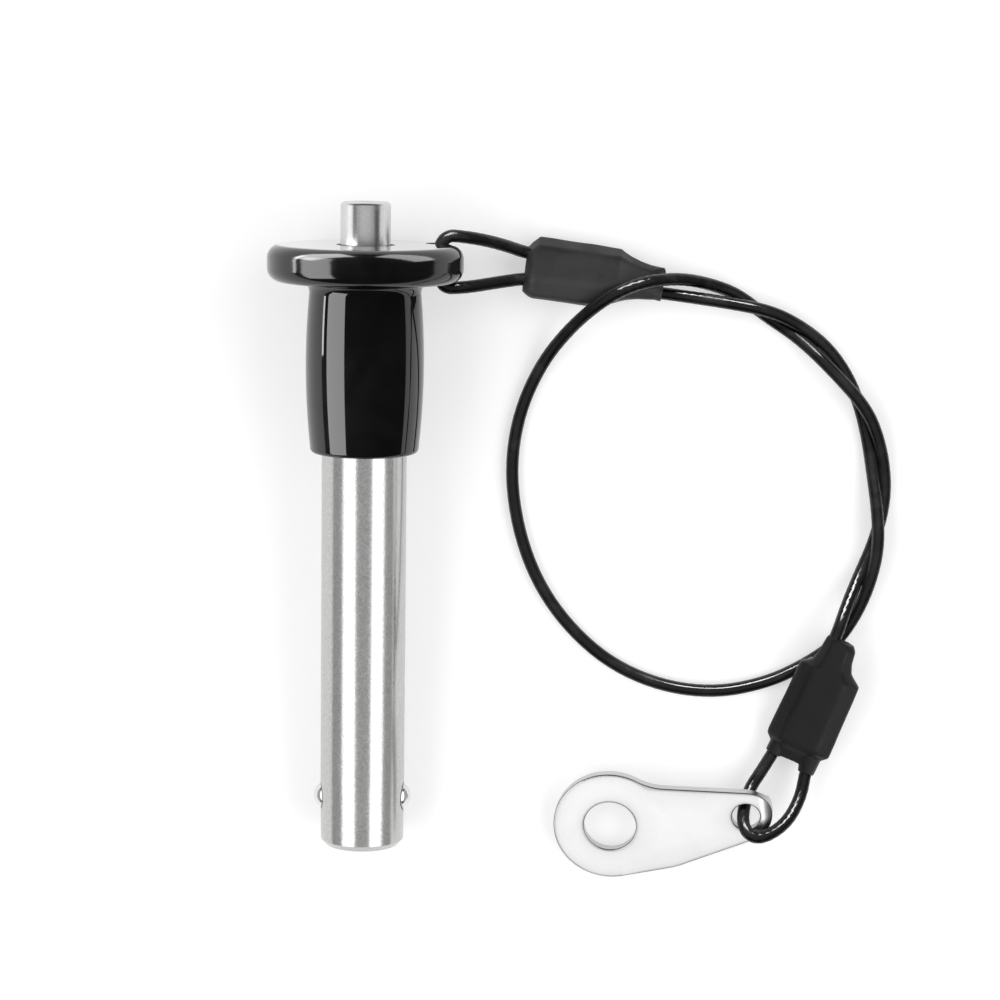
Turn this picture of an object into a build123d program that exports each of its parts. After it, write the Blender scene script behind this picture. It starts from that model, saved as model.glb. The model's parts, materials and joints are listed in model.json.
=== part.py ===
from build123d import *
import os
from math import acos, asin, atan, atan2, cos, degrees, hypot, pi, radians, sin, sqrt, tan

# Ball lock pin with a wire lanyard and a fixing tab, in millimetres.
# Z is up and the pin lies on its side along Y, its button toward +Y, resting on its flange and its tip.
# Each piece of the pin is first made upright in the pin's own frame: Z along the axis toward the button,
# zero at the shoulder where the shank meets the handle, and Y on the side that will lie lowest.

# Shank and tip
shank_diameter = 9.525
grip_length = 38.1
tip_length = 5.54
tip_chamfer_length = 0.65
tip_chamfer_depth = 0.55
lead_taper = 0.05
lead_margin = 0.1
spigot_step = 0.4625
spigot_length = 8.0

# Locking balls
ball_radius = 1.5
ball_proud = 0.77
ball_travel = 0.80
ball_play = 0.02
staking_land = 0.10
staking_width = 0.25
staking_depth = 0.12

# Handle
handle_length = 23.2
flange_diameter = 21.84
flange_thickness = 4.1
flange_rim_fillet = 1.5
flange_root_fillet = 1.2
barrel_foot_step = 1.27
barrel_belly = 0.57
barrel_neck_step = 0.08
barrel_foot_fillet = 0.5
handle_roof = 3.1
button_hole_gap = 0.2
button_hole_chamfer = 0.35
lanyard_hole_diameter = 2.6
lanyard_hole_margin = 1.02
lanyard_hole_angle = 24.0

# Button and spindle
plunger_stroke = 3.0
button_radius = 2.8
button_proud = 4.75
button_edge_fillet = 0.45
button_dish_radius = 1.6
button_dish_depth = 0.5
button_collar_gap = 0.25
button_collar_thickness = 1.3
spindle_seat = 5.25
spindle_skirt = 0.9
spindle_play = 0.08
spindle_floor_gap = 0.15
guide_play = 0.04
guide_height = 3.0
guide_length = 3.0
guide_chamfer = 0.2

# Return spring
spring_wire_radius = 0.35
spring_side_gap = 0.45
spring_turns = 6
seat_gap = 0.05

# Lanyard cord
cord_diameter = 1.4
arc_share = 0.45

# Crimp ferrules, each holding two strands of the cord side by side, and the heat-shrink covers over them
channel_gap = 0.03
ferrule_gap = 0.02
ferrule_side_wall = 0.7
near_strand_spread = 3.1
near_ferrule_length = 7.8
near_ferrule_start = 1.2
near_ferrule_offset = -0.20
near_ferrule_face_wall = 0.9
far_strand_spread = 3.5
far_ferrule_length = 8.2
far_ferrule_start = 0.3
far_ferrule_offset = -0.05
far_ferrule_face_wall = 0.75
cover_side_wall = 0.5
near_cover_face_wall = 0.4
far_cover_face_wall = 0.35
near_mouth_length = 1.3
near_neck_length = 6.6
near_shoulder_gap = 0.3
far_mouth_length = 2.1
far_neck_length = 4.1
far_shoulder_gap = 0.2
cover_lead = 0.1
cover_flat_share = 0.5
cover_edge_share = 0.3
cover_corner_radius = 0.3
collar_wall = 0.25
left_collar_reach = 2.1
right_collar_reach = 2.65

# Fixing tab
tab_centre_along = 28.47
tab_centre_across = -33.94
tab_thickness = 1.2
tab_round_radius = 6.5
tab_tip_radius = 3.0
tab_hole_spacing = 15.65
tab_fixing_hole_diameter = 6.0
tab_loop_hole_diameter = 3.2
tab_upper_flank_angle = 7.5
tab_belly_along = 7.0
tab_belly_across = 5.75
tab_waist_fillet = 7.0
tab_belly_fillet = 8.0
tab_lip_start = 1.2
tab_lip_radius = 1.2
tab_edge_radius = 0.15
tab_heading = 5.9
tab_rise = 7.7
tab_roll = 16.3

# Radii and heights in the pin that follow from those sizes
shank_radius = shank_diameter / 2
spigot_radius = shank_radius - spigot_step
cavity_radius = spigot_radius
barrel_foot_radius = shank_radius + barrel_foot_step
barrel_belly_radius = barrel_foot_radius + barrel_belly
barrel_neck_radius = barrel_foot_radius + barrel_neck_step
flange_radius = flange_diameter / 2
lanyard_hole_radius = lanyard_hole_diameter / 2
lanyard_hole_offset = flange_radius - lanyard_hole_margin - lanyard_hole_radius
flange_underside = handle_length - flange_thickness
cavity_roof = handle_length - handle_roof
ball_out = shank_radius + ball_proud - ball_radius
ball_level = -grip_length - sqrt(ball_radius**2 - (shank_radius - ball_out) ** 2)
tip_end = ball_level - tip_length
tip_edge = tip_end + tip_chamfer_length
lead_start = ball_level + ball_radius + staking_land + staking_width + lead_margin
tip_radius = shank_radius - lead_taper
tip_face_radius = tip_radius - tip_chamfer_depth
cam_angle = atan(ball_travel / plunger_stroke)
land_radius = ball_out - ball_radius / cos(cam_angle) - ball_play
neck_radius = land_radius - ball_travel
bore_radius = land_radius + spindle_play
land_end = ball_level - spindle_skirt
bore_floor = land_end - plunger_stroke - spindle_floor_gap
button_top = handle_length + button_proud
collar_top = cavity_roof - seat_gap
collar_base = collar_top - button_collar_thickness
collar_radius = cavity_radius - button_collar_gap
spindle_top = collar_base + spindle_seat
button_hole_radius = button_radius + button_hole_gap
spring_radius = cavity_radius - spring_side_gap - spring_wire_radius


def corner(profile, radius, height):
    return profile.vertices().sort_by_distance((radius, height))[0]


def turned(profile):
    return revolve(Plane.XZ * profile, Axis.Z)


# Handle: a turned barrel with a bellied side and a flange, hollow for the spring and the button's collar
def make_handle():
    foot = (barrel_foot_radius, 0)
    neck = (barrel_neck_radius, flange_underside)
    barrel = ThreePointArc(foot, (barrel_belly_radius, flange_underside / 2), neck)
    inside = Polyline(
        neck,
        (flange_radius, flange_underside),
        (flange_radius, handle_length),
        (button_hole_radius, handle_length),
        (button_hole_radius, cavity_roof),
        (cavity_radius, cavity_roof),
        (cavity_radius, 0),
        foot,
    )
    profile = make_face(barrel + inside)
    profile = fillet(corner(profile, *foot), barrel_foot_fillet)
    profile = fillet(corner(profile, *neck), flange_root_fillet)
    profile = fillet(corner(profile, flange_radius, flange_underside), flange_rim_fillet)
    profile = fillet(corner(profile, flange_radius, handle_length), flange_rim_fillet)
    profile = chamfer(corner(profile, button_hole_radius, handle_length), button_hole_chamfer)
    return turned(profile) - lanyard_hole()


# The lanyard's hole runs through the flange beside the barrel, low on the +X side
def lanyard_hole():
    side = lanyard_hole_offset * cos(radians(lanyard_hole_angle))
    down = lanyard_hole_offset * sin(radians(lanyard_hole_angle))
    return Pos(side, down, flange_underside) * Cylinder(lanyard_hole_radius, 3 * flange_thickness)


# Shank: a tube closed at the tip, its spigot pressed up into the handle, cross-drilled for the two balls.
# Past the grip it tapers a little toward the tip, from just short of the grooves staked round the balls.
def make_shank():
    profile = Polyline(
        (0, tip_end),
        (tip_face_radius, tip_end),
        (tip_radius, tip_edge),
        (shank_radius, lead_start),
        (shank_radius, 0),
        (spigot_radius, 0),
        (spigot_radius, spigot_length),
        (bore_radius, spigot_length),
        (bore_radius, bore_floor),
        (0, bore_floor),
        close=True,
    )
    shank = turned(make_face(profile)) - ball_passage()
    for side in (1, -1):
        shank -= staking_groove(side)
    return shank


# Each ball's seat ends in a part sphere whose mouth is smaller than the ball, which is what keeps it in
def ball_passage():
    seat_radius = ball_radius + ball_play
    profile = make_face(
        Polyline((-ball_out - seat_radius, 0), (ball_out + seat_radius, 0))
        + RadiusArc((ball_out + seat_radius, 0), (ball_out, seat_radius), -seat_radius)
        + Line((ball_out, seat_radius), (-ball_out, seat_radius))
        + RadiusArc((-ball_out, seat_radius), (-ball_out - seat_radius, 0), -seat_radius)
    )
    return Pos(0, 0, ball_level) * revolve(profile, Axis.X)


# A ring struck round each mouth by the staking punch turns the edge in over the ball
def staking_groove(side):
    inner = ball_radius + staking_land
    ring = Circle(inner + staking_width) - Circle(inner)
    middle = shank_radius / 2
    punch = extrude(Plane.YZ.offset(side * middle) * ring, side * shank_radius)
    core = Cylinder(tip_radius - staking_depth, 3 * shank_diameter)
    return Pos(0, 0, ball_level) * (punch - core)


def make_ball(side):
    return Pos(side * ball_out, 0, ball_level) * Sphere(ball_radius)


# Spindle: its land holds the balls out, and its cone and neck let them in once the button is pressed
def make_spindle():
    guide_top = guide_height + guide_length
    guide_radius = bore_radius - guide_play
    profile = Polyline(
        (0, land_end),
        (land_radius, land_end),
        (land_radius, ball_level),
        (neck_radius, ball_level + plunger_stroke),
        (neck_radius, guide_height),
        (guide_radius - guide_chamfer, guide_height),
        (guide_radius, guide_height + guide_chamfer),
        (guide_radius, guide_top - guide_chamfer),
        (guide_radius - guide_chamfer, guide_top),
        (neck_radius, guide_top),
        (neck_radius, spindle_top),
        (0, spindle_top),
        close=True,
    )
    return turned(make_face(profile))


# Button: a turned knob with a dished top, a collar that stops under the handle's roof, and a spindle seat
def make_button():
    profile = make_face(
        Polyline(
            (neck_radius, collar_base),
            (collar_radius, collar_base),
            (collar_radius, collar_top),
            (button_radius, collar_top),
            (button_radius, button_top),
            (0, button_top),
            (0, spindle_top),
            (neck_radius, spindle_top),
            close=True,
        )
    )
    profile = fillet(corner(profile, button_radius, button_top), button_edge_fillet)
    dish_radius = (button_dish_radius**2 + button_dish_depth**2) / (2 * button_dish_depth)
    dish = Pos(0, 0, button_top - button_dish_depth + dish_radius) * Sphere(dish_radius)
    return turned(profile) - dish


# Return spring: an open helix between the spigot's rim and the button's collar
def make_spring():
    foot = spigot_length + seat_gap + spring_wire_radius
    head = collar_base - seat_gap - spring_wire_radius
    height = head - foot
    helix = Helix(pitch=height / spring_turns, height=height, radius=spring_radius)
    coil = Pos(0, 0, foot) * helix
    section = Plane(origin=coil @ 0, z_dir=coil % 0) * Circle(spring_wire_radius)
    return sweep(section, path=coil)


# The pin lies with its flange's rim and its tip's edge on the surface, so its axis slopes by lay_angle
rim_ring_radius = flange_radius - flange_rim_fillet
rim_ring_height = flange_underside + flange_rim_fillet
lay_run = rim_ring_height - tip_edge
lay_drop = rim_ring_radius - tip_radius
lay_angle = atan2(lay_drop, lay_run) + asin(flange_rim_fillet / hypot(lay_run, lay_drop))
shoulder_height = rim_ring_radius * cos(lay_angle) + flange_rim_fillet - rim_ring_height * sin(lay_angle)
button_reach = (
    (button_top - button_edge_fillet) * cos(lay_angle)
    + (button_radius - button_edge_fillet) * sin(lay_angle)
    + button_edge_fillet
)
tip_reach = -tip_end * cos(lay_angle) + tip_face_radius * sin(lay_angle)
shoulder_place = (tip_reach - button_reach) / 2
pin_place = Pos(0, shoulder_place, shoulder_height) * Rot(X=degrees(lay_angle) - 90)

# The cord's route, from the end hidden in the near crimp round to the end hidden in the far one
cord_route = [
    (33.8, 28.9, 2.2), (26.1, 30.2, 2.1), (18.5, 31.0, 2.1), (15.1, 32.1, 4.3),
    (11.8, 32.7, 7.0), (8.0, 33.0, 7.85), (7.9, 27.0, 7.2), (11.1, 27.1, 6.6),
    (14.8, 27.8, 4.6), (18.6, 28.4, 2.9), (26.1, 27.7, 2.8), (33.6, 26.8, 2.8),
    (36.8, 26.4, 2.6), (40.5, 25.9, 2.4), (45.8, 25.0, 2.3), (49.5, 23.4, 1.5),
    (52.7, 21.2, 0.8), (55.0, 18.1, 0.7), (56.3, 14.5, 0.7), (57.0, 10.4, 0.8),
    (57.3, 6.0, 1.3), (57.8, 2.2, 2.2), (58.5, -1.9, 2.3), (58.0, -6.1, 1.8),
    (56.6, -9.8, 0.8), (54.2, -13.1, 0.7), (50.5, -15.7, 0.7), (46.1, -17.8, 0.7),
    (40.3, -19.0, 0.7), (34.1, -18.3, 0.7), (28.2, -15.8, 0.7), (23.3, -11.6, 0.7),
    (19.6, -6.4, 0.7), (17.3, -0.2, 0.7), (16.4, 6.6, 0.7), (17.3, 13.0, 0.7),
    (19.8, 18.7, 1.0), (23.0, 22.8, 3.2), (26.3, 25.7, 5.8), (29.3, 27.4, 6.1),
    (32.2, 28.2, 5.4), (35.5, 28.5, 3.8), (38.8, 28.0, 1.7), (42.1, 26.9, 0.7),
    (45.4, 24.4, 0.7), (49.0, 21.7, 1.0), (52.6, 18.7, 2.3), (56.9, 14.2, 2.3),
    (58.7, 10.5, 1.3), (59.5, 6.5, 0.8), (59.4, 2.8, 0.7), (58.3, -1.4, 0.7),
    (56.7, -5.0, 1.2), (55.1, -8.4, 2.9), (53.9, -11.6, 4.3), (51.4, -18.0, 3.2),
    (48.1, -23.8, 2.0), (46.0, -27.4, 2.0), (44.0, -30.3, 2.7), (43.2, -33.7, 5.9),
    (45.0, -35.2, 6.4), (48.3, -33.6, 5.0), (50.2, -30.6, 3.4), (50.8, -27.3, 2.4),
    (53.3, -20.5, 3.3), (55.0, -13.8, 4.3),
]
near_strands = (cord_route[0:4], cord_route[8:13])
far_strands = (cord_route[53:59], cord_route[62:66])


# Each bend is as wide as the shorter of its two runs allows
def bend_radii(route):
    points = [Vector(*place) for place in route]
    radii = []
    for before, here, after in zip(points, points[1:], points[2:]):
        shorter_run = min((here - before).length, (after - here).length)
        half_turn = radians((here - before).get_angle(after - here)) / 2
        radii.append(arc_share * shorter_run / tan(half_turn))
    return radii


def cord_along(route, radius):
    path = FilletPolyline(*route, radius=bend_radii(route))
    section = Plane(origin=path @ 0, z_dir=path % 0) * Circle(radius)
    return sweep(section, path=path), path.length


def channel(strands):
    first, second = [cord_along(route, cord_diameter / 2 + channel_gap)[0] for route in strands]
    return first + second


# Each crimp has its own frame: X from its loop toward its neck, Y to the left, Z out of its broad face
near_place = Pos(17.7, 29.95, 2.5) * Rot(Z=-7.5) * Rot(X=-16)
far_place = Pos(49.83, -24.56, 2.2) * Rot(Z=68.9) * Rot(Y=-9.3) * Rot(X=-8)

near_ferrule_width = near_strand_spread + cord_diameter + 2 * ferrule_side_wall
near_ferrule_thickness = cord_diameter + 2 * near_ferrule_face_wall
far_ferrule_width = far_strand_spread + cord_diameter + 2 * ferrule_side_wall
far_ferrule_thickness = cord_diameter + 2 * far_ferrule_face_wall

near_width = near_ferrule_width + 2 * cover_side_wall
near_thickness = near_ferrule_thickness + 2 * near_cover_face_wall
near_body_start = near_ferrule_start + cover_lead
near_body_end = near_ferrule_start + near_ferrule_length + near_shoulder_gap
far_width = far_ferrule_width + 2 * cover_side_wall
far_thickness = far_ferrule_thickness + 2 * far_cover_face_wall
far_body_start = far_ferrule_start - cover_lead
far_body_end = far_ferrule_start + far_ferrule_length + far_shoulder_gap

# Sections of each cover: place along it, width, thickness and sideways offset
near_cover_sections = [
    (near_body_start - near_mouth_length, 0.71 * near_width, 0.68 * near_thickness, -0.28),
    (near_body_start, near_width, near_thickness, -0.35),
    (near_body_end, 0.97 * near_width, near_thickness, -0.30),
    (near_body_end + 0.25 * near_neck_length, 0.85 * near_width, 0.97 * near_thickness, 0.20),
    (near_body_end + 0.41 * near_neck_length, 0.755 * near_width, 0.85 * near_thickness, 0.0),
    (near_body_end + 0.62 * near_neck_length, 0.66 * near_width, 0.70 * near_thickness, 0.0),
    (near_body_end + near_neck_length, 0.572 * near_width, 0.53 * near_thickness, 0.0),
]
far_cover_sections = [
    (far_body_start - far_mouth_length, 0.80 * far_width, 0.70 * far_thickness, 0.0),
    (far_body_start, 1.01 * far_width, far_thickness, 0.0),
    (far_body_end, 0.98 * far_width, far_thickness, -0.25),
    (far_body_end + 0.30 * far_neck_length, 0.64 * far_width, 0.80 * far_thickness, -0.09),
    (far_body_end + far_neck_length, 0.50 * far_width, 0.61 * far_thickness, -0.10),
]


# A cover's section is flat-topped and eight-sided with softened corners, as tubing shrinks over a crimp
def cover_section(along, width, thickness, offset):
    side = width / 2
    top = thickness / 2
    flat = cover_flat_share * side
    edge = cover_edge_share * top
    upper = [(side, edge), (flat, top), (-flat, top), (-side, edge)]
    lower = [(-across, -high) for across, high in upper]
    ring = make_face(Polyline(*upper, *lower, close=True))
    ring = fillet(ring.vertices(), cover_corner_radius)
    return crimp_plane(along, offset) * ring


def crimp_plane(along, offset):
    return Plane(origin=(along, offset, 0), x_dir=(0, 1, 0), z_dir=(1, 0, 0))


def near_block(growth=0):
    section = SlotOverall(near_ferrule_width + 2 * growth, near_ferrule_thickness + 2 * growth)
    plane = crimp_plane(near_ferrule_start - growth, near_ferrule_offset)
    return near_place * extrude(plane * section, near_ferrule_length + 2 * growth)


def far_block(growth=0):
    section = SlotOverall(far_ferrule_width + 2 * growth, far_ferrule_thickness + 2 * growth)
    plane = crimp_plane(far_ferrule_start - growth, far_ferrule_offset)
    return far_place * extrude(plane * section, far_ferrule_length + 2 * growth)


def make_near_cover():
    cover = near_place * loft([cover_section(*section) for section in near_cover_sections], ruled=True)
    return cover - near_block(ferrule_gap) - channel(near_strands)


def make_far_cover():
    entry, end = far_strands
    cover = far_place * loft([cover_section(*section) for section in far_cover_sections], ruled=True)
    cover += strand_collar(entry, left_collar_reach)
    cover += strand_collar(end, right_collar_reach)
    return cover - far_block(ferrule_gap) - channel(far_strands)


# Where a strand leaves the far cover's mouth, the tubing clings to it in a short collar
def strand_collar(route, reach):
    sleeve, _ = cord_along(route, cord_diameter / 2 + collar_wall)
    length = reach + far_body_start + collar_wall
    window = Pos(length / 2 - reach, 0, 0) * Box(length, 2 * far_width, 2 * far_width)
    return sleeve & (far_place * window)


# Tab: a stamped plate, round at the fixing hole, narrowing to a tip that turns down beyond the loop's hole.
# Its own frame has the fixing hole's axis as Z, its underside at zero and X toward the loop's hole.
def make_tab():
    lip_start = tab_hole_spacing + tab_lip_start
    reach = tab_lip_radius + tab_thickness
    breadth = 3 * tab_round_radius
    flat_length = 2 * tab_hole_spacing
    flat_middle = Pos(lip_start - flat_length / 2, tab_thickness / 2)
    bent_section = flat_middle * Rectangle(flat_length, tab_thickness)
    bend = Circle(reach) - Circle(tab_lip_radius)
    bend &= Pos(reach / 2, reach / 2) * Rectangle(reach, reach)
    bent_section += Pos(lip_start, -tab_lip_radius) * bend
    strip = extrude(Plane.XZ.offset(-breadth / 2) * bent_section, breadth)
    blank = extrude(Plane.XY.offset(-reach) * tab_outline(), 2 * reach)
    plate = strip & blank
    return fillet(plate.edges(), tab_edge_radius)


def tab_outline():
    tip = Vector(tab_hole_spacing, 0)
    belly = Vector(tab_belly_along, -tab_belly_across)
    to_tip = tip - belly
    round_turn = -atan2(tab_belly_across, tab_belly_along) - acos(tab_round_radius / belly.length)
    lower_turn = atan2(to_tip.Y, to_tip.X) - asin(tab_tip_radius / to_tip.length) - pi / 2
    upper_turn = pi / 2 - radians(tab_upper_flank_angle)
    round_touch = turned_by(Vector(0, 0), tab_round_radius, round_turn)
    lower_touch = turned_by(tip, tab_tip_radius, lower_turn)
    upper_touch = turned_by(tip, tab_tip_radius, upper_turn)
    slope = tan(radians(tab_upper_flank_angle))
    flank_height = upper_touch.Y + upper_touch.X * slope
    flank_start = Vector(0, flank_height)
    web = make_face(
        Polyline(
            flank_start, upper_touch, tip, lower_touch, belly, round_touch, Vector(0, 0), close=True
        )
    )
    outline = web + Circle(tab_round_radius) + Pos(*tip) * Circle(tab_tip_radius)
    lean = 1 + slope**2
    waist_along = (flank_height * slope + sqrt(lean * tab_round_radius**2 - flank_height**2)) / lean
    waist_across = flank_height - waist_along * slope
    outline = fillet(corner(outline, waist_along, waist_across), tab_waist_fillet)
    outline = fillet(corner(outline, belly.X, belly.Y), tab_belly_fillet)
    outline -= Circle(tab_fixing_hole_diameter / 2)
    return outline - Pos(*tip) * Circle(tab_loop_hole_diameter / 2)


def turned_by(centre, radius, angle):
    return centre + Vector(radius * cos(angle), radius * sin(angle))


# The tab leans with its softened round edge on the surface and its tip lifted by the cord's loop
tab_slope = acos(cos(radians(tab_rise)) * cos(radians(tab_roll)))
tab_height = (tab_round_radius - tab_edge_radius) * sin(tab_slope) + tab_edge_radius * (1 - cos(tab_slope))
tab_turn = Rot(Z=tab_heading) * Rot(Y=-tab_rise) * Rot(X=tab_roll)
tab_place = Pos(tab_centre_along, tab_centre_across, tab_height) * tab_turn

cord, cord_length = cord_along(cord_route, cord_diameter / 2)
cord_section = pi * cord_diameter**2 / 4

nodes = {
    "handle": pin_place * make_handle(),
    "shank": pin_place * make_shank(),
    "spindle": pin_place * make_spindle(),
    "button": pin_place * make_button(),
    "return_spring": pin_place * make_spring(),
    "ball_left": pin_place * make_ball(-1),
    "ball_right": pin_place * make_ball(1),
    "lanyard_cord": cord,
    "near_crimp_ferrule": near_block() - channel(near_strands),
    "far_crimp_ferrule": far_block() - channel(far_strands),
    "near_shrink_cover": make_near_cover(),
    "far_shrink_cover": make_far_cover(),
    "fixing_tab": tab_place * make_tab(),
}

os.makedirs("parts", exist_ok=True)
for name, solid in nodes.items():
    export_step(solid, f"parts/{name}.step")

print("cord bend radii", [round(radius, 1) for radius in bend_radii(cord_route)])
print("cord length", round(cord_length, 1))
print("cord volume", round(cord.volume, 2), "section times length", round(cord_section * cord_length, 2))
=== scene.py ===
import bmesh
import bpy
import json
from math import cos, exp, pi, radians, sin
from mathutils import Matrix, Vector, noise


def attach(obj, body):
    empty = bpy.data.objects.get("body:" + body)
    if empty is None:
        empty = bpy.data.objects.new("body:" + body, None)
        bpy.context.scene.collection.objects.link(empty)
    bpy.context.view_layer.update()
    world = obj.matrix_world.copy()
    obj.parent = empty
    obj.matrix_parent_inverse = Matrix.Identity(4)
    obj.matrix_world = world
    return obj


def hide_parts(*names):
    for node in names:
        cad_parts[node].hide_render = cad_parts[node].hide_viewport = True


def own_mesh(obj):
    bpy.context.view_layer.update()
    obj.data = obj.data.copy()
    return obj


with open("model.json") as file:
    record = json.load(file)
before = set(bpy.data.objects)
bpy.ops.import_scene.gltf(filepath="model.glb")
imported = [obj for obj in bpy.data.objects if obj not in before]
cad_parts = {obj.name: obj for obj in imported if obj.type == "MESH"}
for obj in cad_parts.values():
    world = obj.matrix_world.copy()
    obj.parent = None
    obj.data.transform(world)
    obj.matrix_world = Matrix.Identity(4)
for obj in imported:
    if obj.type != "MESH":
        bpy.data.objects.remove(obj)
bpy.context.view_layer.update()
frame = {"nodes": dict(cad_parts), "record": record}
nodes = frame["nodes"]
mounts = {mount["name"]: mount for mount in frame["record"]["mounts"]}
mm = 0.001

# Camera
# It looks almost straight down on the pin and its lanyard, a little from the button's side, with a long
# lens from about a third of a metre, as the picture was taken.
camera_place = (0.01526, 0.02205, 0.340)
camera_data = bpy.data.cameras.new("camera")
camera_data.lens = 106.52
camera_data.sensor_width = 36
camera_data.clip_start = 0.01
camera = bpy.data.objects.new("camera", camera_data)
bpy.context.scene.collection.objects.link(camera)
camera_pitch = Matrix.Rotation(radians(-3.228), 4, "X")
camera_roll = Matrix.Rotation(radians(0.757), 4, "Z")
camera.matrix_world = Matrix.Translation(camera_place) @ camera_pitch @ camera_roll
bpy.context.scene.camera = camera

# Studio
# A white sweep lies under the part. Two long softboxes stand over its sides, with a grey cloth above, and a
# box in front lights the tab. The handle, the button, the cord and the far cover are shaded from the side
# boxes and have lamps of their own, as black cards and small boxes close to them would give.
floor_white = 0.62
floor_glow = 0.45
floor_size = 12.0
floor_drop = 0.04 * mm
lamps_reach = (0.35, 1.1)
world_grey = (0.07, 0.07, 0.072)


def add_node(tree, kind, inputs=(), **settings):
    node = tree.nodes.new("ShaderNode" + kind)
    for setting, value in settings.items():
        setattr(node, setting, value)
    for socket, value in dict(inputs).items():
        if isinstance(value, bpy.types.NodeSocket):
            tree.links.new(value, node.inputs[socket])
        else:
            node.inputs[socket].default_value = value
    return node


def calculate(tree, operation, *values, **settings):
    return add_node(tree, "Math", dict(enumerate(values)), operation=operation, **settings).outputs[0]


def new_material(name, colour, roughness, metallic=0.0):
    material = bpy.data.materials.new(name)
    material.use_nodes = True
    shader = material.node_tree.nodes["Principled BSDF"]
    shader.inputs["Base Color"].default_value = (*colour, 1)
    shader.inputs["Roughness"].default_value = roughness
    shader.inputs["Metallic"].default_value = metallic
    return material, material.node_tree, shader


sweep, tree, paper = new_material("white sweep", (floor_white, floor_white, floor_white), 0.9)
paper.inputs["Specular IOR Level"].default_value = 0.1
rays = add_node(tree, "LightPath")
seen = rays.outputs["Is Camera Ray"]
for ray in ("Is Glossy Ray", "Is Transmission Ray"):
    seen = calculate(tree, "ADD", seen, rays.outputs[ray])
# Far from the part, out of the lamps' reach, the sweep glows more, so that it stays as white
place = add_node(tree, "TexCoord").outputs["Object"]
distance = add_node(tree, "VectorMath", {0: place}, operation="LENGTH").outputs["Value"]
evenly = add_node(
    tree, "MapRange",
    {"Value": distance, "From Min": lamps_reach[0], "From Max": lamps_reach[1], "To Min": floor_glow},
)
strength = calculate(tree, "MULTIPLY", seen, evenly.outputs[0])
glow = add_node(tree, "Emission", {"Strength": strength})
both = add_node(tree, "AddShader", {0: paper.outputs[0], 1: glow.outputs[0]})
tree.links.new(both.outputs[0], tree.nodes["Material Output"].inputs["Surface"])

bpy.ops.mesh.primitive_plane_add(size=floor_size, location=(0, 0, -floor_drop))
floor = bpy.context.object
floor.name = "floor"
floor.data.materials.append(sweep)

world = bpy.data.worlds.new("studio")
world.use_nodes = True
world.node_tree.nodes["Background"].inputs["Color"].default_value = (*world_grey, 1)
bpy.context.scene.world = world
bpy.context.scene.view_settings.view_transform = "Standard"


def lamp_set(name, *things):
    lit = bpy.data.collections.new(name)
    for thing in things:
        lit.objects.link(thing)
    return lit


# In such a set each piece is kept out of the light, which falls on everything else
def shade(shaded, thing):
    shaded.objects.link(thing)
    for light_link in shaded.collection_objects:
        light_link.light_linking.link_state = "EXCLUDE"


def softbox(name, place, aim, across, along, watts, lit):
    lamp = bpy.data.lights.new(name, "AREA")
    lamp.shape = "RECTANGLE"
    lamp.size = across
    lamp.size_y = along
    lamp.energy = watts
    box = bpy.data.objects.new(name, lamp)
    bpy.context.scene.collection.objects.link(box)
    toward = (Vector(aim) - Vector(place)).to_track_quat("-Z", "Y")
    box.matrix_world = Matrix.Translation(place) @ toward.to_matrix().to_4x4()
    box.visible_camera = False
    box.light_linking.receiver_collection = lit


def shade_from_sides(thing):
    shade(left_lit, thing)
    shade(right_lit, thing)


left_lit = lamp_set("out of the left box")
right_lit = lamp_set("out of the right box")
cloth_lit = lamp_set("out of the overhead cloth")
shade_from_sides(nodes["handle"])
shade_from_sides(nodes["button"])
shade(cloth_lit, nodes["handle"])
handle_alone = lamp_set("handle alone", nodes["handle"])
button_alone = lamp_set("button alone", nodes["button"])
tab_alone = lamp_set("tab alone", nodes["fixing_tab"])

# Where each box stands, where it points, its width and length in metres, its watts and what it lights
softbox("left softbox", (-0.290, -0.05, 0.36), (0, -0.02, 0.01), 0.75, 0.30, 1.6, left_lit)
softbox("right softbox", (0.335, -0.05, 0.36), (0, -0.02, 0.01), 0.75, 0.30, 1.6, right_lit)
softbox("left grey card", (-0.43, -0.05, 0.13), (0, -0.02, 0.01), 0.75, 0.22, 0.22, left_lit)
softbox("right grey card", (0.43, -0.05, 0.13), (0, -0.02, 0.01), 0.75, 0.22, 0.22, right_lit)
softbox("overhead cloth", (0.0, 0.0, 0.75), (0, 0, 0), 1.4, 1.4, 3.0, cloth_lit)
softbox("tab's front box", (-0.03, -0.42, 0.40), (0.03, -0.03, 0.0), 0.40, 0.26, 0.33, tab_alone)
softbox("button's left box", (-0.385, 0.03, 0.12), (0, 0.035, 0.01), 0.50, 0.215, 0.50, button_alone)
softbox("button's right box", (0.393, 0.03, 0.085), (0, 0.035, 0.01), 0.50, 0.14, 0.22, button_alone)
softbox("button's overhead box", (0.0, 0.03, 0.60), (0, 0.035, 0.01), 0.50, 0.50, 0.12, button_alone)
softbox("handle's left box", (-0.337, 0.02, 0.224), (0, 0.02, 0.009), 0.60, 0.283, 2.8, handle_alone)
softbox("handle's left strip", (-0.40, 0.16, 0.031), (0, 0.02, 0.009), 0.38, 0.035, 0.40, handle_alone)
softbox("handle's left back box", (-0.27, 0.33, 0.12), (0, 0.03, 0.01), 0.46, 0.25, 3.6, handle_alone)
softbox("handle's right back box", (0.27, 0.33, 0.12), (0, 0.03, 0.01), 0.46, 0.25, 2.2, handle_alone)

# Lanyard cord
# One length of fine wire rope in a glossy black jacket, 312 mm from crimp to crimp. It goes through the
# flange's hole, twice round the side of the ring that it lies in, and through the tab.
cord_diameter = 1.46 * mm
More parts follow.
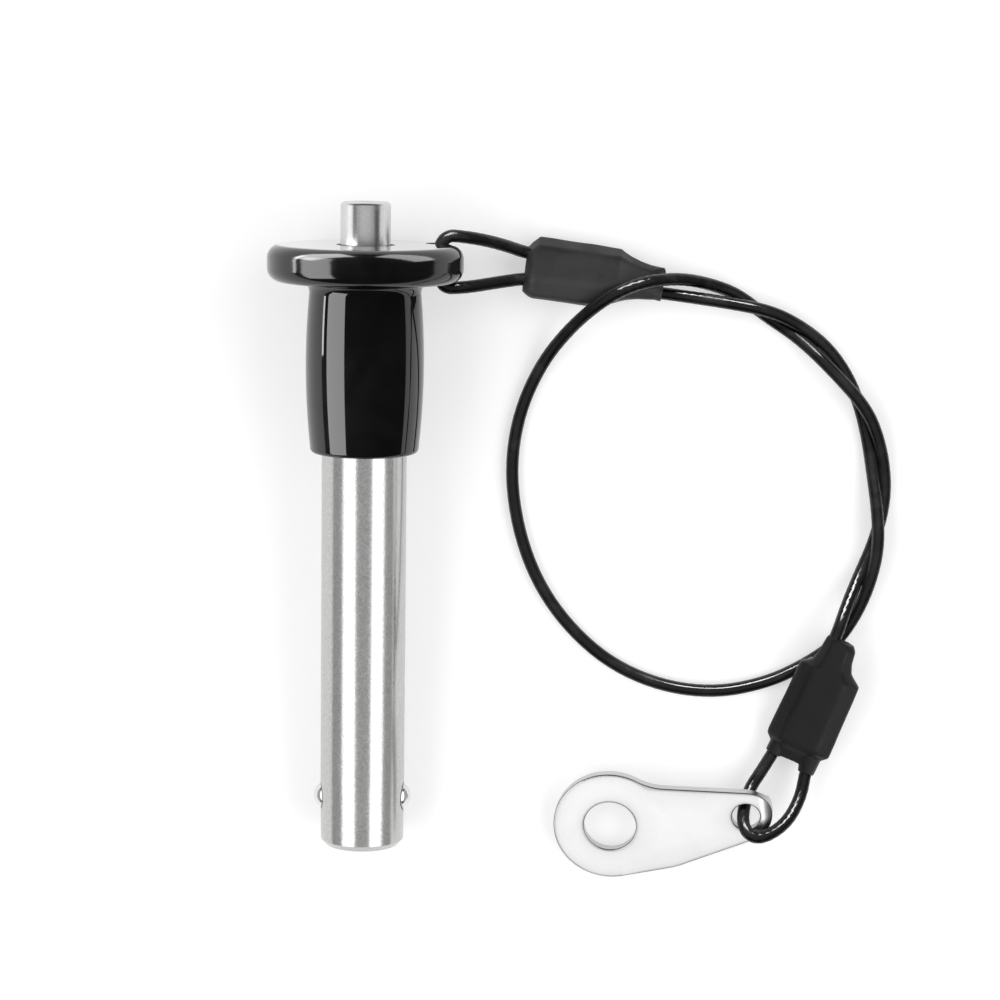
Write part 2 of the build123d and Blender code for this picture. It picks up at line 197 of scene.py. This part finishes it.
# The way of the cord's middle, in millimetres
cord_route = [
    (33.2, 28.99, 2.2), (26.1, 30.2, 2.1), (18.5, 31.0, 2.1), (15.1, 32.1, 4.3),
    (11.8, 32.7, 7.0), (8.0, 33.0, 7.85), (7.9, 27.0, 7.2), (11.1, 27.1, 6.6),
    (14.8, 27.8, 4.6), (18.6, 28.4, 2.9), (26.1, 27.7, 2.8), (33.6, 26.8, 2.8),
    (36.8, 26.4, 2.6), (40.5, 25.9, 2.4), (45.8, 25.0, 2.3), (49.45, 23.25, 1.5),
    (52.5, 20.95, 0.8), (54.75, 17.95, 0.7), (56.3, 14.5, 0.7), (57.35, 10.4, 0.7),
    (58.0, 6.0, 1.2), (58.45, 2.2, 2.2), (58.65, -1.9, 2.3), (57.8, -6.1, 1.8),
    (56.38, -9.8, 0.8), (54.2, -13.1, 0.7), (50.5, -15.7, 0.7), (46.1, -17.8, 0.7),
    (40.3, -19.0, 0.7), (34.1, -18.3, 0.7), (28.2, -15.8, 0.7), (23.3, -11.6, 0.7),
    (19.6, -6.4, 0.7), (17.3, -0.2, 0.7), (16.4, 6.6, 0.7), (17.3, 13.0, 0.7),
    (19.8, 18.7, 1.0), (23.0, 22.8, 3.2), (26.3, 25.7, 5.8), (29.3, 27.4, 6.1),
    (32.2, 28.2, 5.4), (35.5, 28.5, 3.8), (38.8, 28.0, 1.7), (42.1, 26.9, 0.7),
    (45.4, 24.4, 0.7), (49.2, 21.95, 1.0), (52.6, 18.7, 2.3), (56.85, 14.2, 2.3),
    (58.55, 10.5, 1.5), (59.42, 6.5, 0.8), (59.38, 2.8, 0.7), (58.3, -1.4, 0.7),
    (56.7, -5.0, 1.2), (55.1, -8.4, 2.9), (53.9, -11.6, 4.3), (51.4, -18.0, 3.2),
    (48.1, -23.8, 2.0), (46.0, -27.4, 2.0), (44.0, -30.3, 2.7), (43.2, -33.7, 5.9),
    (45.0, -35.2, 6.4), (48.3, -33.6, 5.0), (50.2, -30.6, 3.4), (50.8, -27.3, 2.4),
    (53.3, -20.5, 3.3), (55.0, -13.8, 4.3),
]
wire_lay = 6.5 * mm
wire_strands = 7
wire_relief = 0.040 * mm
cord_sides = 42


def route_points(name, route):
    curve = bpy.data.curves.new(name, "CURVE")
    curve.dimensions = "3D"
    curve.resolution_u = 12
    spline = curve.splines.new("NURBS")
    spline.points.add(len(route) - 1)
    for point, place in zip(spline.points, route):
        point.co = (*(Vector(place) * mm), 1)
    spline.order_u = 3
    spline.use_endpoint_u = True
    line = bpy.data.objects.new(name, curve)
    bpy.context.scene.collection.objects.link(line)
    bpy.context.view_layer.update()
    drawn = bpy.data.meshes.new_from_object(line.evaluated_get(bpy.context.evaluated_depsgraph_get()))
    points = [vertex.co.copy() for vertex in drawn.vertices]
    bpy.data.objects.remove(line)
    return points


def piece(name, mesh_data, material):
    made = bpy.data.objects.new(name, mesh_data)
    bpy.context.scene.collection.objects.link(made)
    made.data.materials.append(material)
    return made


def directions_along(points):
    steps = [(after - before).normalized() for before, after in zip(points, points[1:])]
    ahead = [steps[0]] + [(a + b).normalized() for a, b in zip(steps, steps[1:])] + [steps[-1]]
    side = ahead[0].orthogonal().normalized()
    sides = []
    for direction in ahead:
        side = (side - direction * side.dot(direction)).normalized()
        sides.append(side)
    return ahead, sides


def skin_of_rings(name, rings):
    shape = bmesh.new()
    rings = [[shape.verts.new(place) for place in ring] for ring in rings]
    count = len(rings[0])
    for before, after in zip(rings, rings[1:]):
        for j in range(count):
            k = (j + 1) % count
            shape.faces.new((before[j], before[k], after[k], after[j])).smooth = True
    shape.faces.new(reversed(rings[0]))
    shape.faces.new(rings[-1])
    mesh_data = bpy.data.meshes.new(name)
    shape.to_mesh(mesh_data)
    shape.free()
    return mesh_data


def wire_rope_tube(name, points):
    ahead, sides = directions_along(points)
    rings = []
    travelled = 0
    for i, point in enumerate(points):
        if i:
            travelled += (point - points[i - 1]).length
        up = ahead[i].cross(sides[i])
        ring = []
        for j in range(cord_sides):
            turn = 2 * pi * j / cord_sides
            lobe = wire_strands * (turn - 2 * pi * travelled / wire_lay) / 2
            radius = cord_diameter / 2 - wire_relief * (1 - abs(cos(lobe)))
            ring.append(point + radius * (cos(turn) * sides[i] + sin(turn) * up))
        rings.append(ring)
    return skin_of_rings(name, rings)


def new_group(name, inputs, outputs):
    group = bpy.data.node_groups.new(name, "ShaderNodeTree")
    for label, value in inputs.items():
        kind = "NodeSocketVector" if value is None else "NodeSocketFloat"
        socket = group.interface.new_socket(label, in_out="INPUT", socket_type=kind)
        if value is not None:
            socket.default_value = value
    for label in outputs:
        group.interface.new_socket(label, in_out="OUTPUT", socket_type="NodeSocketFloat")
    return group, group.nodes.new("NodeGroupInput"), group.nodes.new("NodeGroupOutput")


# Handling leaves soft patches that are a little duller than the clean surface
smudges, given, result = new_group(
    "handling smudges", {"Place": None, "Patch size": 0.004, "Clean": 0.2, "Dull": 0.3},
    ["Roughness", "Patches"],
)
patches_per_metre = calculate(smudges, "DIVIDE", 1.0, given.outputs["Patch size"])
clouds = add_node(
    smudges, "TexNoise",
    {"Vector": given.outputs["Place"], "Scale": patches_per_metre, "Detail": 4.0, "Distortion": 0.6},
)
patches = add_node(
    smudges, "MapRange", {"Value": clouds.outputs["Fac"], "From Min": 0.40, "From Max": 0.66},
    interpolation_type="SMOOTHSTEP",
)
dulled = add_node(
    smudges, "MapRange",
    {"Value": patches.outputs[0], "To Min": given.outputs["Clean"], "To Max": given.outputs["Dull"]},
)
smudges.links.new(dulled.outputs[0], result.inputs["Roughness"])
smudges.links.new(patches.outputs[0], result.inputs["Patches"])

# A fine, even grain, such as blasting or tumbling leaves, given as a height and as a mask
grain, given, result = new_group("fine grain", {"Place": None, "Grain size": 0.0002}, ["Height", "Grains"])
grains_per_metre = calculate(grain, "DIVIDE", 1.0, given.outputs["Grain size"])
specks = add_node(
    grain, "TexNoise", {"Vector": given.outputs["Place"], "Scale": grains_per_metre, "Detail": 2.0}
)
bright = add_node(grain, "MapRange", {"Value": specks.outputs["Fac"], "From Min": 0.35, "From Max": 0.68})
grain.links.new(specks.outputs["Fac"], result.inputs["Height"])
grain.links.new(bright.outputs[0], result.inputs["Grains"])


def place_group(tree, group, **values):
    node = tree.nodes.new("ShaderNodeGroup")
    node.node_tree = group
    for label, value in values.items():
        label = label.replace("_", " ")
        if isinstance(value, bpy.types.NodeSocket):
            tree.links.new(value, node.inputs[label])
        else:
            node.inputs[label].default_value = value
    return node


def tint(tree, shader, mask, first, second):
    mixed = add_node(tree, "Mix", data_type="RGBA")
    tree.links.new(mask, mixed.inputs[0])
    mixed.inputs[6].default_value = (*first, 1)
    mixed.inputs[7].default_value = (*second, 1)
    tree.links.new(mixed.outputs[2], shader.inputs["Base Color"])


def bump(tree, shader, height, depth):
    raised = add_node(tree, "Bump", {"Strength": 1.0, "Distance": depth, "Height": height})
    tree.links.new(raised.outputs[0], shader.inputs["Normal"])
    return raised


jacket, tree, shader = new_material("jacket over wire rope", (0.007, 0.007, 0.007), 0.30)
shader.inputs["Specular IOR Level"].default_value = 0.25
here = add_node(tree, "TexCoord").outputs["Object"]
rubbing_and_edge_shade = place_group(tree, smudges, Place=here, Patch_size=3.5 * mm, Clean=0.12, Dull=0.28)
tree.links.new(rubbing_and_edge_shade.outputs["Roughness"], shader.inputs["Roughness"])
tint(tree, shader, rubbing_and_edge_shade.outputs["Patches"], (0.005, 0.005, 0.005), (0.010, 0.010, 0.0105))
skin = place_group(tree, grain, Place=here, Grain_size=0.25 * mm)
bump(tree, shader, skin.outputs["Height"], 0.004 * mm)

cord_line = route_points("cord line", cord_route)
cord = piece("lanyard_wire_rope", wire_rope_tube("lanyard_wire_rope", cord_line), jacket)
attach(cord, "pin")
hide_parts("lanyard_cord")
shade_from_sides(cord)
cord_alone = lamp_set("cord alone", cord)
softbox("cord's lamp", (0.02, 0.34, 0.28), (0.03, 0.0, 0.0), 0.30, 0.10, 5.5, cord_alone)

# Handle
# Turned aluminium, a bellied barrel under a round-edged flange, blasted fine and anodised a glossy black.
# It is pressed on the shank's spigot, and its flange is drilled for the lanyard.
pin_axis = -Vector(mounts["grip"]["axis"])
shoulder = Vector(mounts["grip"]["pos_m"]) + pin_axis * (mounts["grip"]["dims"]["length_mm"] * mm / 2)
pin_turn = pin_axis.to_track_quat("Z", "Y").to_euler()


# Places measured from the shoulder, with Z along the pin's axis
def along_pin(tree, stretch=(1, 1, 1)):
    here = add_node(tree, "TexCoord").outputs["Object"]
    turned = add_node(
        tree, "Mapping", {"Vector": here, "Location": shoulder, "Rotation": pin_turn}, vector_type="TEXTURE"
    )
    stretched = add_node(tree, "Mapping", {"Vector": turned.outputs[0], "Scale": stretch})
    return stretched.outputs[0]


def refinish(name, material):
    nodes[name].data.materials.clear()
    nodes[name].data.materials.append(material)


rim_dulling = 0.10
rim_start = 9.0 * mm
rim_end = 9.8 * mm
below_top_face = 23.08 * mm
on_top_face = 23.18 * mm
handle_black, tree, shader = new_material("black anodised aluminium", (0.003, 0.003, 0.0032), 0.10)
shader.inputs["Specular IOR Level"].default_value = 0.55
here = along_pin(tree)
touched = place_group(tree, smudges, Place=here, Patch_size=6 * mm, Clean=0.015, Dull=0.05)
across_pin = along_pin(tree, (1, 1, 0))
from_axis = add_node(tree, "VectorMath", {0: across_pin}, operation="LENGTH").outputs["Value"]
rim_wear = add_node(
    tree, "MapRange",
    {"Value": from_axis, "From Min": rim_start, "From Max": rim_end, "To Max": rim_dulling},
)
worn = calculate(tree, "ADD", touched.outputs["Roughness"], rim_wear.outputs[0])
tree.links.new(worn, shader.inputs["Roughness"])
height = add_node(tree, "SeparateXYZ", {"Vector": here}).outputs["Z"]
top_face = add_node(
    tree, "MapRange", {"Value": height, "From Min": below_top_face, "From Max": on_top_face}
)
tree.links.new(top_face.outputs[0], shader.inputs["Coat Weight"])
shader.inputs["Coat Roughness"].default_value = 0.03
tint(tree, shader, touched.outputs["Patches"], (0.002, 0.002, 0.0022), (0.0045, 0.0045, 0.005))
refinish("handle", handle_black)

# Shank
# Hardened stainless steel, ground between centres, so very fine marks run round it. Its closed tip is
# chamfered, and a ring is staked round the mouth of each ball's hole.
marks, given, result = new_group("marks round the axis", {"Place": None, "Spacing": 0.0001}, ["Height"])
marks_per_metre = calculate(marks, "DIVIDE", 1.0, given.outputs["Spacing"])
lines = add_node(
    marks, "TexNoise", {"Vector": given.outputs["Place"], "Scale": marks_per_metre, "Detail": 3.0}
)
marks.links.new(lines.outputs["Fac"], result.inputs["Height"])
round_the_axis = (0.03, 0.03, 1.0)


def turned_steel(name, pale, dark, clean, dull, spacing, mark_depth, grain_size, grain_depth):
    material, tree, shader = new_material(name, pale, clean, 1.0)
    here = along_pin(tree)
    touched = place_group(tree, smudges, Place=here, Patch_size=5 * mm, Clean=clean, Dull=dull)
    tree.links.new(touched.outputs["Roughness"], shader.inputs["Roughness"])
    speckled = place_group(tree, grain, Place=here, Grain_size=grain_size)
    tint(tree, shader, speckled.outputs["Grains"], dark, pale)
    cut = place_group(tree, marks, Place=along_pin(tree, round_the_axis), Spacing=spacing)
    raised = bump(tree, shader, cut.outputs["Height"], mark_depth)
    finer = add_node(tree, "Bump", {"Distance": grain_depth, "Height": speckled.outputs["Height"]})
    tree.links.new(finer.outputs[0], raised.inputs["Normal"])
    return material


ground_steel = turned_steel(
    "ground stainless", (0.56, 0.56, 0.55), (0.45, 0.45, 0.445), clean=0.19, dull=0.22,
    spacing=0.16 * mm, mark_depth=0.001 * mm, grain_size=0.22 * mm, grain_depth=0.0035 * mm,
)
refinish("shank", ground_steel)

# Button and spindle
# The button is turned stainless with a softened top edge and a dished top. It is fixed on the head of the
# spindle, a long ground rod in the shank's bore that holds the balls out.
button_steel = turned_steel(
    "turned stainless", (0.66, 0.66, 0.655), (0.60, 0.60, 0.60), clean=0.26, dull=0.30,
    spacing=0.12 * mm, mark_depth=0.001 * mm, grain_size=0.16 * mm, grain_depth=0.001 * mm,
)
refinish("button", button_steel)
refinish("spindle", ground_steel)

# Locking balls
# Two hard, polished steel balls, one on each side. Each rests on the spindle, and the staked edge of its
# hole in the shank keeps it from falling out.
ball_steel = turned_steel(
    "polished ball", (0.74, 0.74, 0.74), (0.70, 0.70, 0.70), clean=0.06, dull=0.12,
    spacing=0.8 * mm, mark_depth=0.0002 * mm, grain_size=0.6 * mm, grain_depth=0.0006 * mm,
)
for name in ("ball_left", "ball_right"):
    refinish(name, ball_steel)

# Return spring
# Drawn stainless wire, coiled open, between the shank's spigot and the button's collar. It shortens by the
# button's travel when the button is pressed.
spring_steel = turned_steel(
    "drawn wire", (0.50, 0.49, 0.47), (0.38, 0.37, 0.36), clean=0.28, dull=0.36,
    spacing=0.3 * mm, mark_depth=0.001 * mm, grain_size=0.3 * mm, grain_depth=0.002 * mm,
)
spring_mesh = nodes["return_spring"].data.copy()
spring_mesh.materials.clear()
spring = piece("coiled_return_spring", spring_mesh, spring_steel)
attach(spring, "pin")
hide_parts("return_spring")
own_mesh(spring)

# Crimp ferrules
# Oval aluminium sleeves, each pressed over the two strands of one of the cord's loops. They are all but
# hidden under their covers.
ferrule_metal, tree, shader = new_material("pressed aluminium", (0.58, 0.58, 0.59), 0.4, 1.0)
here = add_node(tree, "TexCoord").outputs["Object"]
pressed = place_group(tree, smudges, Place=here, Patch_size=1.5 * mm, Clean=0.34, Dull=0.5)
tree.links.new(pressed.outputs["Roughness"], shader.inputs["Roughness"])
dimpled = place_group(tree, grain, Place=here, Grain_size=0.4 * mm)
bump(tree, shader, dimpled.outputs["Height"], 0.01 * mm)
tint(tree, shader, dimpled.outputs["Grains"], (0.50, 0.50, 0.51), (0.60, 0.60, 0.61))
for name in ("near_crimp_ferrule", "far_crimp_ferrule"):
    refinish(name, ferrule_metal)

# Heat-shrink covers
# Matte black polyolefin tubing, shrunk flat over each ferrule and drawn down to a neck round the two
# strands. It clings to what is under it, so its edges are soft and its mouth is puckered.
tubing, tree, shader = new_material("shrink tubing", (0.022, 0.022, 0.023), 0.5)
shader.inputs["Specular IOR Level"].default_value = 0.4
here = add_node(tree, "TexCoord").outputs["Object"]
scuffed = place_group(tree, smudges, Place=here, Patch_size=2.8 * mm, Clean=0.44, Dull=0.60)
tree.links.new(scuffed.outputs["Roughness"], shader.inputs["Roughness"])
tint(tree, shader, scuffed.outputs["Patches"], (0.023, 0.023, 0.024), (0.030, 0.030, 0.031))
matte = place_group(tree, grain, Place=here, Grain_size=0.18 * mm)
bump(tree, shader, matte.outputs["Height"], 0.008 * mm)

# Its sizes here are in millimetres, with X along the cover from its wide mouth to its neck
cover_flat_share = 0.52
cover_edge_share = 0.30
points_per_side = 9
corner_passes = 3
cover_slices = 64
sleeve_sides = 32
shrink_voxel = 0.10
settle_share = 0.5
settle_passes = 5
pucker_depth = 0.05
pucker_reach = 0.9
puckers_per_mm = 2.6
sag_depth = 0.035
sags_per_mm = 0.45


def between(stations, along):
    for first, second in zip(stations, stations[1:]):
        if along <= second[0]:
            share = (along - first[0]) / (second[0] - first[0])
            return [a + share * (b - a) for a, b in zip(first, second)]
    return list(stations[-1])


# A ring of the tubing: flat-topped and eight-sided, with its corners softened
def tubing_ring(along, left, right, height):
    middle = (left + right) / 2
    side = (left - right) / 2
    flat = cover_flat_share * side
    edge = cover_edge_share * height
    upper = [(side, edge), (flat, height), (-flat, height), (-side, edge)]
    corners = [Vector(place) for place in upper + [(-across, -up) for across, up in upper]]
    ring = [
        here.lerp(after, k / points_per_side)
        for here, after in zip(corners, corners[1:] + corners[:1])
        for k in range(points_per_side)
    ]
    for _ in range(corner_passes):
        ring = [(a + 2 * b + c) / 4 for a, b, c in zip(ring[-1:] + ring[:-1], ring, ring[1:] + ring[:1])]
    return [Vector((along, middle + across, up)) for across, up in ring]


def sleeve(start, end, start_radius, end_radius):
    start, end = Vector(start), Vector(end)
    across = (end - start).orthogonal().normalized()
    up = (end - start).normalized().cross(across)
    turns = [2 * pi * k / sleeve_sides for k in range(sleeve_sides)]
    return [
        [centre + radius * (cos(turn) * across + sin(turn) * up) for turn in turns]
        for centre, radius in ((start, start_radius), (end, end_radius))
    ]


# The body and its collars melt into one skin, as the tubing does when it shrinks. A station is its place
# along the cover, its left and right edge and its half height.
def shrunk_cover(name, place, stations, collars, bore=None):
    first, last = stations[0][0], stations[-1][0]
    span = [first + (last - first) * k / cover_slices for k in range(cover_slices + 1)]
    lumps = [skin_of_rings(name, [tubing_ring(*between(stations, along)) for along in span])]
    lumps += [skin_of_rings(name, sleeve(*collar)) for collar in collars]
    joined = bmesh.new()
    for lump in lumps:
        joined.from_mesh(lump)
    bmesh.ops.recalc_face_normals(joined, faces=joined.faces)
    mesh_data = bpy.data.meshes.new(name)
    joined.to_mesh(mesh_data)
    joined.free()
    cover = piece(name, mesh_data, tubing)
    melt = cover.modifiers.new("melt", "REMESH")
    melt.mode = "VOXEL"
    melt.voxel_size = shrink_voxel
    settle = cover.modifiers.new("settle", "SMOOTH")
    settle.factor = settle_share
    settle.iterations = settle_passes
    if bore:
        drill = piece(name + "_bore", skin_of_rings(name + "_bore", sleeve(*bore)), tubing)
        opened = cover.modifiers.new("opened", "BOOLEAN")
        opened.operation = "DIFFERENCE"
        opened.object = drill
    bpy.context.view_layer.update()
    shrunk = bpy.data.meshes.new_from_object(cover.evaluated_get(bpy.context.evaluated_depsgraph_get()))
    cover.modifiers.clear()
    if bore:
        bpy.data.objects.remove(drill)
    outwards = [vertex.normal.copy() for vertex in shrunk.vertices]
    for vertex, outward in zip(shrunk.vertices, outwards):
        here = vertex.co.copy()
        at_mouth = exp(-max(0.0, here.x - first) / pucker_reach)
        round_mouth = Vector((0.3, here.y * puckers_per_mm, here.z * puckers_per_mm))
        pucker = at_mouth * noise.noise(round_mouth)
        sag = noise.noise(here * sags_per_mm + Vector((3.1, 0.0, 1.7)))
        vertex.co = here + outward * (pucker_depth * pucker + sag_depth * sag)
    for face in shrunk.polygons:
        face.use_smooth = True
    shrunk.transform(place @ Matrix.Scale(mm, 4))
    cover.data = shrunk
    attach(cover, "pin")
    return cover


def turned(degrees, axis):
    return Matrix.Rotation(radians(degrees), 4, axis)


near_place = Matrix.Translation(Vector((17.7, 29.95, 2.5)) * mm) @ turned(-7.5, "Z") @ turned(-16, "X")
near_cover = shrunk_cover(
    "near_heat_shrink", near_place,
    [
        (0.15, 2.05, -3.15, 1.20), (0.75, 2.80, -3.60, 1.75), (1.35, 3.42, -3.80, 2.00),
        (7.4, 3.38, -3.76, 2.02), (9.3, 3.34, -3.70, 2.02), (10.7, 3.30, -2.95, 1.95),
        (11.25, 2.95, -2.70, 1.78), (12.0, 2.60, -2.45, 1.50), (13.2, 2.20, -2.18, 1.26),
        (14.35, 1.98, -2.06, 1.08), (15.55, 1.90, -1.92, 0.96),
    ],
    [
        ((14.4, 1.10, 0.0), (15.95, 1.16, 0.50), 0.70, 0.62),
        ((14.6, -1.10, 0.0), (15.95, -1.18, 0.0), 0.80, 0.90),
    ],
    ((15.0, 1.12, 0.20), (17.0, 1.20, 0.90), 0.40, 0.44),
)
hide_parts("near_shrink_cover")

# The cord's cut end shows its bright wires in the open mouth of the tubing
cut_rings = sleeve((15.1, 1.13, 0.23), (15.80, 1.15, 0.46), 0.30, 0.30)
cut_wires = piece("cut_wires", skin_of_rings("cut_wires", cut_rings), spring_steel)
cut_wires.data.transform(near_place @ Matrix.Scale(mm, 4))
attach(cut_wires, "pin")

far_place = Matrix.Translation(Vector((49.83, -24.56, 2.2)) * mm) @ turned(68.9, "Z") @ turned(-9.3, "Y")
far_place = far_place @ turned(-8, "X")
far_cover = shrunk_cover(
    "far_heat_shrink", far_place,
    [
        (-1.95, 2.60, -2.30, 0.95), (-0.85, 2.95, -3.05, 1.25), (-0.15, 3.72, -3.88, 1.70),
        (0.35, 3.80, -3.90, 1.80), (8.85, 3.50, -3.84, 1.82), (9.25, 3.45, -3.36, 1.74),
        (9.48, 2.90, -3.00, 1.68), (9.97, 2.30, -2.42, 1.52), (11.0, 2.02, -2.06, 1.36),
        (12.5, 1.86, -1.88, 1.15), (13.1, 1.78, -1.42, 1.00),
    ],
    [
        ((-0.30, 1.95, 0.10), (-2.10, 2.20, 0.44), 1.05, 0.94),
        ((-0.80, -1.93, 0.27), (-2.72, -2.15, 0.66), 1.25, 0.90),
    ],
)
shade_from_sides(far_cover)
far_cover_alone = lamp_set("far cover alone", far_cover)
softbox("far cover's box", (0.34, -0.20, 0.30), (0.05, -0.02, 0.0), 0.14, 0.14, 0.30, far_cover_alone)
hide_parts("far_shrink_cover")

# Fixing tab
# Stamped from 1.2 mm stainless and tumbled, which softens its edges and leaves a fine satin grain with
# faint scratches. The cord's loop runs through its small hole, and a screw or rivet through the large one.
tab_lie = (radians(16.3), radians(-7.7), radians(5.9))
eye_radius = 6.5 * mm
eye_hole_radius = 3.0 * mm
tip_radius = 3.0 * mm
loop_hole_radius = 1.6 * mm
loop_hole = (15.65 * mm, 0, 0)
arm_start_offset = 0.73 * mm
arm_start_slope = 8.0
waist_blend = 0.8 * mm
# How far in from the outline and the holes the painted edge shade reaches
edge_shade_depth = 3.5 * mm
facing_speckle = 0.006
grain_darkening = -0.022
patch_darkening = -0.016
scratch_turn = (0, 0, radians(14))
scratches_per_metre = (160, 2600, 400)
# Which way each straight side of the arm faces, in degrees, and its distance from the large hole's centre
arm_sides = ((82.5, 5.043 * mm), (-73.18, 7.529 * mm), (-83.55, 6.5 * mm))
# Painted shade: grey tones from the edge inward, and from a surface square to the plate to its flat face
edge_shade_tones = ((0.0, 0.56), (0.05, 0.50), (0.10, 0.70), (0.25, 0.755), (0.50, 0.77), (1.0, 0.82))
facing_shade_tones = ((0.0, 0.56), (0.25, 0.24), (0.90, 0.24), (0.985, 0.80))


def grey_ramp(tree, value, tones):
    ramp = add_node(tree, "ValToRGB", {"Fac": value})
    ramp.color_ramp.elements.remove(ramp.color_ramp.elements[1])
    ramp.color_ramp.elements[0].position = tones[0][0]
    ramp.color_ramp.elements[0].color = (*[tones[0][1]] * 3, 1)
    for position, tone in tones[1:]:
        ramp.color_ramp.elements.new(position).color = (tone, tone, tone, 1)
    return ramp.outputs[0]


def in_from_round(tree, place, middle, radius):
    away = add_node(tree, "VectorMath", {0: place, 1: middle}, operation="DISTANCE")
    return calculate(tree, "SUBTRACT", radius, away.outputs["Value"])


def in_from_line(tree, place, facing_degrees, offset):
    outward = (cos(radians(facing_degrees)), sin(radians(facing_degrees)), 0)
    away = add_node(tree, "VectorMath", {0: place, 1: outward}, operation="DOT_PRODUCT")
    return calculate(tree, "SUBTRACT", offset, away.outputs["Value"])


tab_steel, tree, shader = new_material("tumbled stainless", (0.80, 0.80, 0.79), 0.30, 1.0)
here = add_node(tree, "TexCoord").outputs["Object"]
worn = place_group(tree, smudges, Place=here, Patch_size=4 * mm, Clean=0.28, Dull=0.305)
tree.links.new(worn.outputs["Roughness"], shader.inputs["Roughness"])
satin = place_group(tree, grain, Place=here, Grain_size=0.22 * mm)

# Painted shade: its sheared edges and the curled lip are painted darker than the flat face, by which way
# each surface faces
outward = add_node(tree, "TexCoord").outputs["Normal"]
plate_axis = mounts["fixing_hole"]["axis"]
across_plate = add_node(tree, "VectorMath", {0: outward, 1: plate_axis}, operation="DOT_PRODUCT")
facing = calculate(tree, "ABSOLUTE", across_plate.outputs["Value"])
speckle = calculate(tree, "MULTIPLY", satin.outputs["Grains"], facing_speckle)
facing = calculate(tree, "SUBTRACT", facing, speckle, use_clamp=True)

# Painted shade: the face is painted greyer beside its outline and round its two holes, as its rounded edges
# turn from the light
on_plate = add_node(
    tree, "Mapping", {"Vector": here, "Location": mounts["fixing_hole"]["pos_m"], "Rotation": tab_lie},
    vector_type="TEXTURE",
)
on_plate = add_node(tree, "Mapping", {"Vector": on_plate.outputs[0], "Scale": (1, 1, 0)}).outputs[0]
arm_start = add_node(tree, "SeparateXYZ", {"Vector": on_plate}).outputs["X"]
arm = calculate(tree, "MULTIPLY_ADD", arm_start, arm_start_slope, -arm_start_slope * arm_start_offset)
for facing_degrees, offset in arm_sides:
    arm = calculate(tree, "MINIMUM", arm, in_from_line(tree, on_plate, facing_degrees, offset))
eye = in_from_round(tree, on_plate, (0, 0, 0), eye_radius)
inward = calculate(tree, "SMOOTH_MAX", arm, eye, waist_blend)
inward = calculate(tree, "MAXIMUM", inward, in_from_round(tree, on_plate, loop_hole, tip_radius))
for middle, radius in (((0, 0, 0), eye_hole_radius), (loop_hole, loop_hole_radius)):
    from_hole = calculate(tree, "ABSOLUTE", in_from_round(tree, on_plate, middle, radius))
    inward = calculate(tree, "MINIMUM", inward, from_hole)
# The painted edge shade, darkest at the outline and round the holes
rubbing_and_edge_shade = grey_ramp(tree, calculate(tree, "DIVIDE", inward, edge_shade_depth), edge_shade_tones)
tone = calculate(tree, "MINIMUM", rubbing_and_edge_shade, grey_ramp(tree, facing, facing_shade_tones))
tone = calculate(tree, "MULTIPLY_ADD", satin.outputs["Grains"], grain_darkening, tone)
tone = calculate(tree, "MULTIPLY_ADD", worn.outputs["Patches"], patch_darkening, tone)
tree.links.new(tone, shader.inputs["Base Color"])

tumbled = bump(tree, shader, satin.outputs["Height"], 0.002 * mm)
stretched = add_node(
    tree, "Mapping", {"Vector": here, "Rotation": scratch_turn, "Scale": scratches_per_metre}
)
scratches = add_node(tree, "TexNoise", {"Vector": stretched.outputs[0], "Scale": 1.0, "Detail": 2.0})
scored = add_node(tree, "Bump", {"Distance": 0.001 * mm, "Height": scratches.outputs["Fac"]})
tree.links.new(scored.outputs[0], tumbled.inputs["Normal"])
refinish("fixing_tab", tab_steel)
